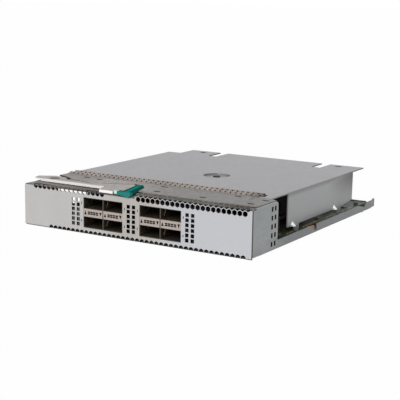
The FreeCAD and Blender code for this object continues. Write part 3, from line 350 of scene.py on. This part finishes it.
boardLook = {"tones": (tint(62, 69, 52), tint(36, 46, 33)), "rough": 0.5, "shine": 0.15, "blotch": 260,
             "rear": (tint(122, 127, 114), tint(84, 90, 78)), "rearFrom": (0.12, 0.185)}


def boardFinish():
    # dull green mask with painted light and shade: lighter towards the rear, where it lies in the open, and
    # darker at the front, in the shade of the wall
    own = boardLook
    made = sheetFinish("boardMask", own["tones"], 0.0, own["rough"])
    made.send("Specular IOR Level", own["shine"])
    # painted light towards the rear, painted shade towards the front
    inOpen = made.spread(made.axis("Y"), *own["rearFrom"])
    return made.send("Base Color", made.blend(inOpen, made.colour, mottle(made, *own["rear"], own["blotch"])))


cageLook = {"tones": (tint(64, 55, 44), tint(38, 31, 24)), "metallic": 0.3, "rough": 0.5,
            "mouth": tint(78, 70, 64), "mouthRear": 0.002,
            "glint": tint(128, 112, 90), "glints": (900, 2, 0.5), "glintBand": (0.63, 0.69)}


def cageFinish():
    # steel toned dark as painted shade for its unlit inside, with small painted glints, and a lighter sheared
    # edge at the mouth
    own = cageLook
    made = sheetFinish("cageSteel", own["tones"], own["metallic"], own["rough"])
    mouth = (made.facing("Y") < -square) * (made.axis("Y") < own["mouthRear"])
    # painted glints on the dark inside
    paintedGlints = made.spread(made.noise(*own["glints"]), *own["glintBand"])
    colour = made.blend(paintedGlints, made.colour, own["glint"])
    return made.send("Base Color", made.blend(mouth, colour, own["mouth"]))


stripLook = {"tones": (tint(162, 153, 147), tint(122, 112, 105)), "metallic": 0.2, "rough": 0.45,
             "end": tint(104, 94, 88), "endFrom": (0.072, 0.083)}


def stripFinish():
    # spring sheet, darker at its right end
    own = stripLook
    made = sheetFinish("bronzeSpring", own["tones"], own["metallic"], own["rough"])
    end = made.spread(made.axis("X"), *own["endFrom"])
    return made.send("Base Color", made.blend(end, made.colour, own["end"]))


leverLook = {"tones": (tint(252, 247, 245), tint(240, 234, 231)), "rough": 0.35, "grain": (260, 900, 900),
             "top": (tint(154, 146, 142), tint(118, 111, 108)),
             "recess": tint(48, 43, 41), "recessTop": 0.0369,
             "endAcross": (-0.099, -0.106), "endBack": (0.0165, 0.019), "endShare": 0.3}


def leverFinish():
    # a light painted lever, brightened to near white as painted light where its front lip and edges catch the
    # light, a mottled top in painted shade, a little lighter at its end, and painted shade in the recess
    # round the pivot
    own = leverLook
    made = sheetFinish("brightLever", own["tones"], 0.0, own["rough"], own["grain"])
    flat = made.facing("Z") > square
    # painted shade on the mottled top and in the recess round the pivot; painted light on the other faces
    sunk = flat * (made.axis("Z") < own["recessTop"])
    colour = made.blend(flat, made.colour, mottle(made, *own["top"]))
    end = made.spread(made.axis("X"), *own["endAcross"]) * made.spread(made.axis("Y"), *own["endBack"])
    colour = made.blend(end * own["endShare"] * flat, colour, own["tones"][1])
    return made.send("Base Color", made.blend(sunk, colour, own["recess"]))


# The latch: its tongue in painted highlight, and the tones across its arm, which leans to the right on its
# way back: painted shade along its slot and right side, painted highlight along its middle
latchLook = {
    "tones": (tint(48, 132, 127), tint(34, 108, 105)),
    "rough": 0.4, "grain": (1500, 1500, 1500), "shine": 0.0,
    # the tongue's pale tone is a painted highlight
    "tip": tint(196, 228, 218), "tipRight": -0.0123, "tipRear": 0.0045,
    "armFront": 0.001, "lean": 0.24, "armBand": (-0.0084, 0.0002),
    "arm": ((0.0, tint(10, 44, 46)), (0.16, tint(12, 56, 56)), (0.24, tint(20, 124, 112)),
            (0.5, tint(34, 146, 130)), (0.72, tint(14, 100, 92)), (1.0, tint(10, 78, 74))),
}


def latchFinish():
    # a teal moulding with its tongue in pale painted highlight, and an arm in painted shade along its slot
    # and right side and in painted highlight along its middle
    own = latchLook
    made = sheetFinish("tealMoulding", own["tones"], 0.0, own["rough"], own["grain"])
    made.send("Specular IOR Level", own["shine"])
    side, deep = made.axis("X"), made.axis("Y")
    along = made.spread(side + deep * own["lean"], *own["armBand"])
    shade = made.add("ShaderNodeValToRGB", {"stops": own["arm"]}, {0: along})
    arm = (made.facing("Z") > square) * (deep > own["armFront"])
    # the tongue is painted as a highlight
    tongue = (side < own["tipRight"]) * (deep < own["tipRear"])
    colour = made.blend(arm, made.colour, shade)
    return made.send("Base Color", made.blend(tongue, colour, own["tip"]))


# Finishes that are alike all over: name, light and dark tone, metallic, roughness, and a grain of their own
plain = {
    "tan": ("tanSpring", (176, 134, 104), (140, 100, 74), 0.2, 0.45),
    "label": ("lightBar", (178, 166, 159), (168, 156, 149), 0.0, 0.5),
    "insert": ("portInsert", (48, 39, 31), (26, 20, 15), 0.0, 0.5),
    "header": ("headerMoulding", (68, 73, 82), (48, 52, 60), 0.0, 0.5),
    "leaf": ("contactLeaf", (156, 138, 112), (112, 98, 78), 0.0, 0.5),
    "black": ("blackMoulding", (26, 24, 23), (17, 16, 15), 0.0, 0.5),
    "sink": ("darkSink", (40, 40, 42), (28, 28, 30), 0.2, 0.5, (900, 80, 900)),
    "steel": ("plainSteel", (170, 170, 172), (136, 136, 138), 0.7, 0.34),
    "pivot": ("dullPivot", (60, 55, 53), (36, 33, 31), 0.3, 0.5),
    "ink": ("darkMark", (8, 5, 4), (12, 8, 7), 0.0, 0.6),
    "gold": ("goldContact", (190, 160, 96), (160, 130, 72), 0.8, 0.3),
    "amber": ("ceramicBody", (112, 96, 74), (88, 74, 56), 0.0, 0.5),
    "screw": ("boardScrew", (112, 114, 106), (88, 90, 84), 0.2, 0.5),
    "rust": ("coilBody", (84, 46, 38), (58, 32, 27), 0.0, 0.5),
}

finishes = {"face": faceFinish(), "cover": coverFinish(), "tray": trayFinish(), "lever": leverFinish(),
            "teal": latchFinish(), "spring": stripFinish(), "cage": cageFinish(), "board": boardFinish()}
for key, (name, light, dark, *rest) in plain.items():
    finishes[key] = sheetFinish(name, (tint(*light), tint(*dark)), *rest)
finishes["ink"].send("Specular IOR Level", 0.0)

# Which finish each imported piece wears
worn = {
    "face": ["faceplate"],
    "cover": ["top_cover"],
    "tray": ["base_tray", "lever_bracket"],
    "lever": ["ejector_lever"],
    "spring": ["finger_strip"],
    "tan": ["ground_spring_left", "ground_spring_right"],
    "cage": ["cage_left", "cage_right"],
    "label": ["light_strip_left", "light_strip_right"],
    "teal": ["release_latch", "latch_pin"],
    "board": ["main_board"],
    "insert": ["receptacles_left", "receptacles_right"],
    "header": ["edge_header"],
    "black": ["signal_connector_left", "signal_connector_right", "power_connector", "switch_chips",
              "retimer_chips", "power_inductors"],
    "sink": ["left_heat_sink", "right_heat_sink"],
    "steel": ["lever_washer", "board_standoffs", "cover_pillar", "guide_socket_left", "guide_socket_right",
              "capacitors"],
    "screw": ["board_screws"],
    "pivot": ["lever_rivet", "cover_screw"],
}
for key, names in worn.items():
    for name in names:
        nodes[name].data.materials.clear()
        nodes[name].data.materials.append(finishes[key].material)
print("finishes made:", len(finishes))


def meshObject(name, mesh):
    # a finished mesh as an object in the scene
    mesh.normal_update()
    data = bpy.data.meshes.new(name)
    mesh.to_mesh(data)
    mesh.free()
    item = bpy.data.objects.new(name, data)
    bpy.context.scene.collection.objects.link(item)
    return item


def solidPiece(name, mesh, finish, body="chassis"):
    # a finished mesh as one piece of the object
    item = meshObject(name, mesh)
    item.data.materials.append(finishes[finish].material)
    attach(item, body)


def prismInto(mesh, outline, low, high, flat="XZ"):
    # a closed outline in millimetres, run between two levels of the third axis
    def corner(u, v, level):
        if flat == "XZ":
            return (u * mm, level * mm, v * mm)
        return (level * mm, u * mm, v * mm)
    first = [mesh.verts.new(corner(u, v, low)) for u, v in outline]
    second = [mesh.verts.new(corner(u, v, high)) for u, v in outline]
    mesh.faces.new(first)
    mesh.faces.new(list(reversed(second)))
    for index in range(len(outline)):
        after = (index + 1) % len(outline)
        mesh.faces.new((first[index], second[index], second[after], first[after]))
    bmesh.ops.recalc_face_normals(mesh, faces=mesh.faces)


def oblong(left, right, bottom, top):
    return [(left, bottom), (right, bottom), (right, top), (left, top)]


def blockInto(mesh, middle, size, bevel):
    # a block standing on a point, in millimetres
    made = bmesh.ops.create_cube(mesh, size=1)
    for corner in made["verts"]:
        spot = (corner.co.x * size[0] + middle[0], corner.co.y * size[1] + middle[1],
                (corner.co.z + 0.5) * size[2] + middle[2])
        corner.co = Vector(tuple(value * mm for value in spot))
    edges = list({edge for corner in made["verts"] for edge in corner.link_edges})
    bmesh.ops.bevel(mesh, geom=edges, offset=bevel * mm, segments=2, affect="EDGES", profile=0.5)


# Marks on the light bars: an arrow up, one down and four groups of light windows between them
marks = {"proud": 0.08, "sunk": 0.1, "gapSunk": 0.2, "split": 0.7, "window": (1.04, 1.04),
         "arrowHigh": 3.0, "arrowWide": 2.2, "arrows": ((0.095, 1), (0.892, -1)),
         "groups": (0.283, 0.423, 0.565, 0.712), "aside": 0.55, "rowGap": 0.69}


def lightMarks():
    tall, half = marks["arrowHigh"] / 2, marks["arrowWide"] / 2
    broad, rise = (value / 2 for value in marks["window"])
    for side, name in (("Left", "light_strip_left"), ("Right", "light_strip_right")):
        low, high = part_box(name)
        mesh = bmesh.new()
        left, right, front = low.x / mm, high.x / mm, low.y / mm
        centre = (low.z + high.z) / 2 / mm
        wide = (right - left - marks["split"]) / 2
        levels = (front - marks["proud"], front + marks["sunk"])
        for start in (left, right - wide):
            for part, up in marks["arrows"]:
                middle = start + wide * part
                foot, tip = centre - up * tall, centre + up * tall
                prismInto(mesh, [(middle - half, foot), (middle + half, foot), (middle, tip)], *levels)
            for part in marks["groups"]:
                for row in (-marks["rowGap"], marks["rowGap"]):
                    for aside in (-marks["aside"], marks["aside"]):
                        u, v = start + wide * part + aside, centre + row
                        prismInto(mesh, oblong(u - broad, u + broad, v - rise, v + rise), *levels)
        # the dark gap between the two halves of the bar
        joint, reach = (left + right) / 2, marks["split"] / 2
        gap = oblong(joint - reach, joint + reach, low.z / mm, high.z / mm)
        prismInto(mesh, gap, front + marks["sunk"], front + marks["gapSunk"])
        solidPiece("lightMarks" + side, mesh, "ink")


lightMarks()
print("light bar marks made")

# Inside the ports: a thin bent contact leaf in each right port and a small key under each left port's roof
port = {"wall": 0.4, "web": 0.9, "high": 8.2, "thick": 0.15, "deep": 0.5,
        "leafIn": 2.4, "leafAside": 1.15,
        "leafPath": ((0.9, 0.2), (1.3, 1.6), (1.2, 2.6), (0.4, 4.2), (0.2, 5.6)),
        "keyIn": 1.6, "keyPart": 0.345, "keyPath": ((0.0, 0.1), (0.0, 2.6))}


def portColumns(cage):
    # left and right of each column and bottom and top of each row, in millimetres
    low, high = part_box(cage)
    left, right = low.x / mm, high.x / mm
    middle = (left + right) / 2
    inner = port["web"] / 2
    columns = [(left + port["wall"], middle - inner), (middle + inner, right - port["wall"])]
    bottom, top = low.z / mm, high.z / mm
    rows = [(bottom + port["wall"], bottom + port["wall"] + port["high"]),
            (top - port["wall"] - port["high"], top - port["wall"])]
    return columns, rows, low.y / mm


def leafInto(mesh, path, left, top, front):
    # a bent strip in (x, z) that follows a path down from a port's roof
    half = port["thick"] / 2
    outline = [(left + x - half, top - z) for x, z in path]
    outline += [(left + x + half, top - z) for x, z in reversed(path)]
    prismInto(mesh, outline, front, front + port["deep"])


def portFittings():
    for side, cage in (("Left", "cage_left"), ("Right", "cage_right")):
        columns, rows, front = portColumns(cage)
        leaves, keys = bmesh.new(), bmesh.new()
        left, right = columns[0]
        for bottom, top in rows:
            key = left + (right - left) * port["keyPart"]
            leafInto(keys, port["keyPath"], key, top, front + port["keyIn"])
            leafInto(leaves, port["leafPath"], columns[1][0] + port["leafAside"], top, front + port["leafIn"])
        solidPiece("portLeaves" + side, leaves, "leaf")
        solidPiece("portKeys" + side, keys, "pivot")


portFittings()
print("port fittings made")

# Small parts on the board: seeded rows along its free edges, clear of the feet, the screws and the middle
bits = {"seed": 7, "front": 46, "rear": 206, "edge": (97.2, 97.9), "step": (3.2, 6.5),
        "feet": (87.7, 170.4), "footClear": (3, 12), "screws": (66, 140, 196), "screwClear": 5.5,
        "columns": (-80, 84, 5), "shift": 1, "rows": ((205, 211), (52, 60)),
        "middle": 4, "middleClear": (64, 190), "chipShare": 0.3, "chip": (1.8, 3.4, 1.1), "chipBevel": 0.1,
        "body": (1.1, 1.6, 0.7), "bodyBevel": 0.06, "end": 0.34, "endBeyond": 0.16, "endBevel": 0.04}


def bitSpots(chance):
    spots = []
    ahead, behind = bits["footClear"]
    for side in (-1, 1):
        y = bits["front"]
        while y < bits["rear"]:
            onFoot = any(foot - ahead < y < foot + behind for foot in bits["feet"])
            nearScrew = any(abs(y - screw) < bits["screwClear"] for screw in bits["screws"])
            if not onFoot and not nearScrew:
                spots.append((side * chance.uniform(*bits["edge"]), y))
            y += chance.uniform(*bits["step"])
    for x in range(*bits["columns"]):
        for row in bits["rows"]:
            spots.append((x + chance.uniform(-bits["shift"], bits["shift"]), chance.uniform(*row)))
    return spots


def boardBits():
    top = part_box("main_board")[1].z / mm
    chance = random.Random(bits["seed"])
    ceramic, ends, chips = bmesh.new(), bmesh.new(), bmesh.new()
    clearFrom, clearTo = bits["middleClear"]
    wide, tall, high = bits["body"]
    for x, y in bitSpots(chance):
        if abs(x) < bits["middle"] and (y < clearFrom or y > clearTo):
            continue
        if chance.random() < bits["chipShare"]:
            blockInto(chips, (x, y, top), bits["chip"], bits["chipBevel"])
            continue
        blockInto(ceramic, (x, y, top), bits["body"], bits["bodyBevel"])
        for end in (-1, 1):
            place = (x, y + end * (tall / 2 + bits["endBeyond"]), top)
            blockInto(ends, place, (wide, bits["end"], high), bits["endBevel"])
    solidPiece("boardCeramics", ceramic, "amber")
    solidPiece("boardEnds", ends, "leaf")
    solidPiece("boardChips", chips, "black")


# Taller parts that show through the side openings, each by its place and height, and two upright leads
tallParts = {"choke": 6.5, "chokeBevel": 0.5,
             "chokes": ((-92.6, 74.6, 15), (78, 66, 17), (70, 74, 15), (86, 73, 12), (84, 57, 9)),
             "can": 5, "canBevel": 0.6, "cans": ((-66, 60, 7), (-60, 52, 6), (66, 60, 7), (60, 52, 6)),
             "lead": 0.9, "leadBevel": 0.2, "leads": ((90.4, 67.4, 15), (88.4, 66.2, 15))}


def sideParts():
    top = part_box("main_board")[1].z / mm
    coils, cans = bmesh.new(), bmesh.new()
    for kind, mesh in (("choke", coils), ("can", cans), ("lead", cans)):
        wide = tallParts[kind]
        for x, y, high in tallParts[kind + "s"]:
            blockInto(mesh, (x, y, top), (wide, wide, high), tallParts[kind + "Bevel"])
    solidPiece("sideChokes", coils, "rust")
    solidPiece("sideCans", cans, "black")


# The dark locating hook under the board's rear right corner, measured in from the board's edges
hook = {"gap": 0.02, "front": 9, "drop": 1.2, "knee": 6.5, "foot": 1.6, "rear": 1.0, "across": (3.2, 0.6)}


def cornerHook():
    low, high = (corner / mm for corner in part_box("main_board"))
    mesh = bmesh.new()
    under, front, rear = low.z - hook["gap"], high.y - hook["front"], high.y - hook["rear"]
    outline = [(front, under), (front, under - hook["drop"]), (high.y - hook["knee"], hook["foot"]),
               (rear, hook["foot"]), (rear, under)]
    prismInto(mesh, outline, *(high.x - inset for inset in hook["across"]), "YZ")
    solidPiece("cornerHook", mesh, "black")


# Low shroud on the board's rear edge, between the guide block and the corner
shroud = {"left": 0.4, "right": 0.3, "inset": 1.0, "deep": 1.5, "high": 0.95, "bevel": 0.1}


def rearStrip():
    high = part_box("main_board")[1] / mm
    start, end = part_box("guide_socket_right")[1].x / mm + shroud["left"], high.x - shroud["right"]
    mesh = bmesh.new()
    place = ((start + end) / 2, high.y - shroud["inset"], high.z)
    blockInto(mesh, place, (end - start, shroud["deep"], shroud["high"]), shroud["bevel"])
    solidPiece("rearStrip", mesh, "board")


# A dark sheet of painted shade behind the slots of the left side plate
slotShade = {"place": (-103.35, 34.2, 19.5), "size": (0.12, 13.4, 14.0), "bevel": 0.02}


def slotShadeSheet():
    mesh = bmesh.new()
    blockInto(mesh, slotShade["place"], slotShade["size"], slotShade["bevel"])
    solidPiece("slotShadeSheet", mesh, "black")


boardBits()
sideParts()
cornerHook()
rearStrip()
slotShadeSheet()
print("board parts made")

# Contact blades in the slots of the rear connectors
blades = {"size": (0.5, 6.5, 1.1), "bevel": 0.12, "back": 1.2, "first": 1.9, "pitch": 3.0, "last": 1,
          "rise": 2.6, "step": 1.9, "top": 3.4}


def contactBlades():
    mesh = bmesh.new()
    for name in ("signal_connector_left", "signal_connector_right", "power_connector"):
        low, high = (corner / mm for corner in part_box(name))
        y = high.y - blades["size"][1] / 2 - blades["back"]
        x = low.x + blades["first"]
        while x < high.x - blades["last"]:
            z = low.z + blades["rise"]
            while z < high.z - blades["top"]:
                blockInto(mesh, (x, y, z), blades["size"], blades["bevel"])
                z += blades["step"]
            x += blades["pitch"]
    solidPiece("contactBlades", mesh, "gold")


contactBlades()
print("contact blades made")

# Floor, light and camera
studio = {"floor": tint(236, 236, 236), "floorHalf": 40, "floorDrop": 0.0002, "floorRough": 0.9,
          "floorGlow": 0.97, "white": (1, 1, 1, 1), "worldLevel": 0.39, "sunLevel": 2.0, "sunSoft": 0.7,
          "sunFrom": (0.16, -0.80, 0.56)}
rays = ("Is Camera Ray", "Is Glossy Ray", "Is Transmission Ray")


def makeFloor():
    mesh = bmesh.new()
    bmesh.ops.create_grid(mesh, x_segments=1, y_segments=1, size=studio["floorHalf"])
    floor = meshObject("floor", mesh)
    floor.location.z = -studio["floorDrop"]
    paint = Finish("floorPaint", 0.0, studio["floorRough"])
    paint.send("Base Color", studio["floor"])
    glow = paint.add("ShaderNodeEmission", {}, {"Color": studio["white"], "Strength": 1.0})
    seen, mirrored = (paint.add("ShaderNodeLightPath", {}, {}, ray) for ray in rays[:2])
    amount = seen * studio["floorGlow"] + mirrored
    matt = Wire(paint, paint.shader.outputs[0])
    mixed = paint.add("ShaderNodeMixShader", {}, {0: amount, 1: matt, 2: glow})
    paint.tree.links.new(mixed.socket, paint.tree.nodes["Material Output"].inputs["Surface"])
    floor.data.materials.append(paint.material)


def makeLight():
    # the world is white where the camera or a reflection sees it, and a plain level elsewhere
    world = bpy.data.worlds.new("studio")
    bpy.context.scene.world = world
    world.use_nodes = True
    sky = Graph(world.node_tree)
    back = sky.tree.nodes["Background"]
    back.inputs["Color"].default_value = studio["white"]
    seen, mirrored, through = (sky.add("ShaderNodeLightPath", {}, {}, ray) for ray in rays)
    total = sky.either(sky.either(seen, mirrored), through)
    level = sky.spread(total, 0.0, 1.0, studio["worldLevel"], 1.0)
    sky.tree.links.new(level.socket, back.inputs["Strength"])
    lamp = bpy.data.lights.new("window", "SUN")
    lamp.energy = studio["sunLevel"]
    lamp.angle = studio["sunSoft"]
    item = bpy.data.objects.new("window", lamp)
    item.rotation_euler = Vector(studio["sunFrom"]).to_track_quat("Z", "Y").to_euler()
    bpy.context.scene.collection.objects.link(item)


# The camera: turned from the front and tilted down in degrees, focal length in pixels, place in millimetres
view = {"azimuth": 30.869, "down": 11.026, "roll": 1.046, "focal": 1022.891, "frame": 400,
        "place": (437.85, -629.868, 182.297), "sensor": 36, "clip": (0.01, 50)}


def makeCamera():
    turn, down, roll = (math.radians(view[key]) for key in ("azimuth", "down", "roll"))
    forward = Vector((-math.sin(turn) * math.cos(down), math.cos(turn) * math.cos(down), -math.sin(down)))
    level = Vector((math.cos(turn), math.sin(turn), 0))
    upright = level.cross(forward)
    right = math.cos(roll) * level + math.sin(roll) * upright
    upward = -math.sin(roll) * level + math.cos(roll) * upright
    camera = bpy.data.cameras.new("camera")
    camera.sensor_width = view["sensor"]
    camera.lens = view["focal"] * camera.sensor_width / view["frame"]
    camera.clip_start, camera.clip_end = view["clip"]
    item = bpy.data.objects.new("camera", camera)
    turned = Matrix((right, upward, -forward)).transposed().to_4x4()
    item.matrix_world = Matrix.Translation(Vector(view["place"]) * mm) @ turned
    bpy.context.scene.collection.objects.link(item)
    bpy.context.scene.camera = item


makeFloor()
makeLight()
makeCamera()
bpy.context.scene.view_settings.view_transform = "Standard"
print("floor, light and camera set")
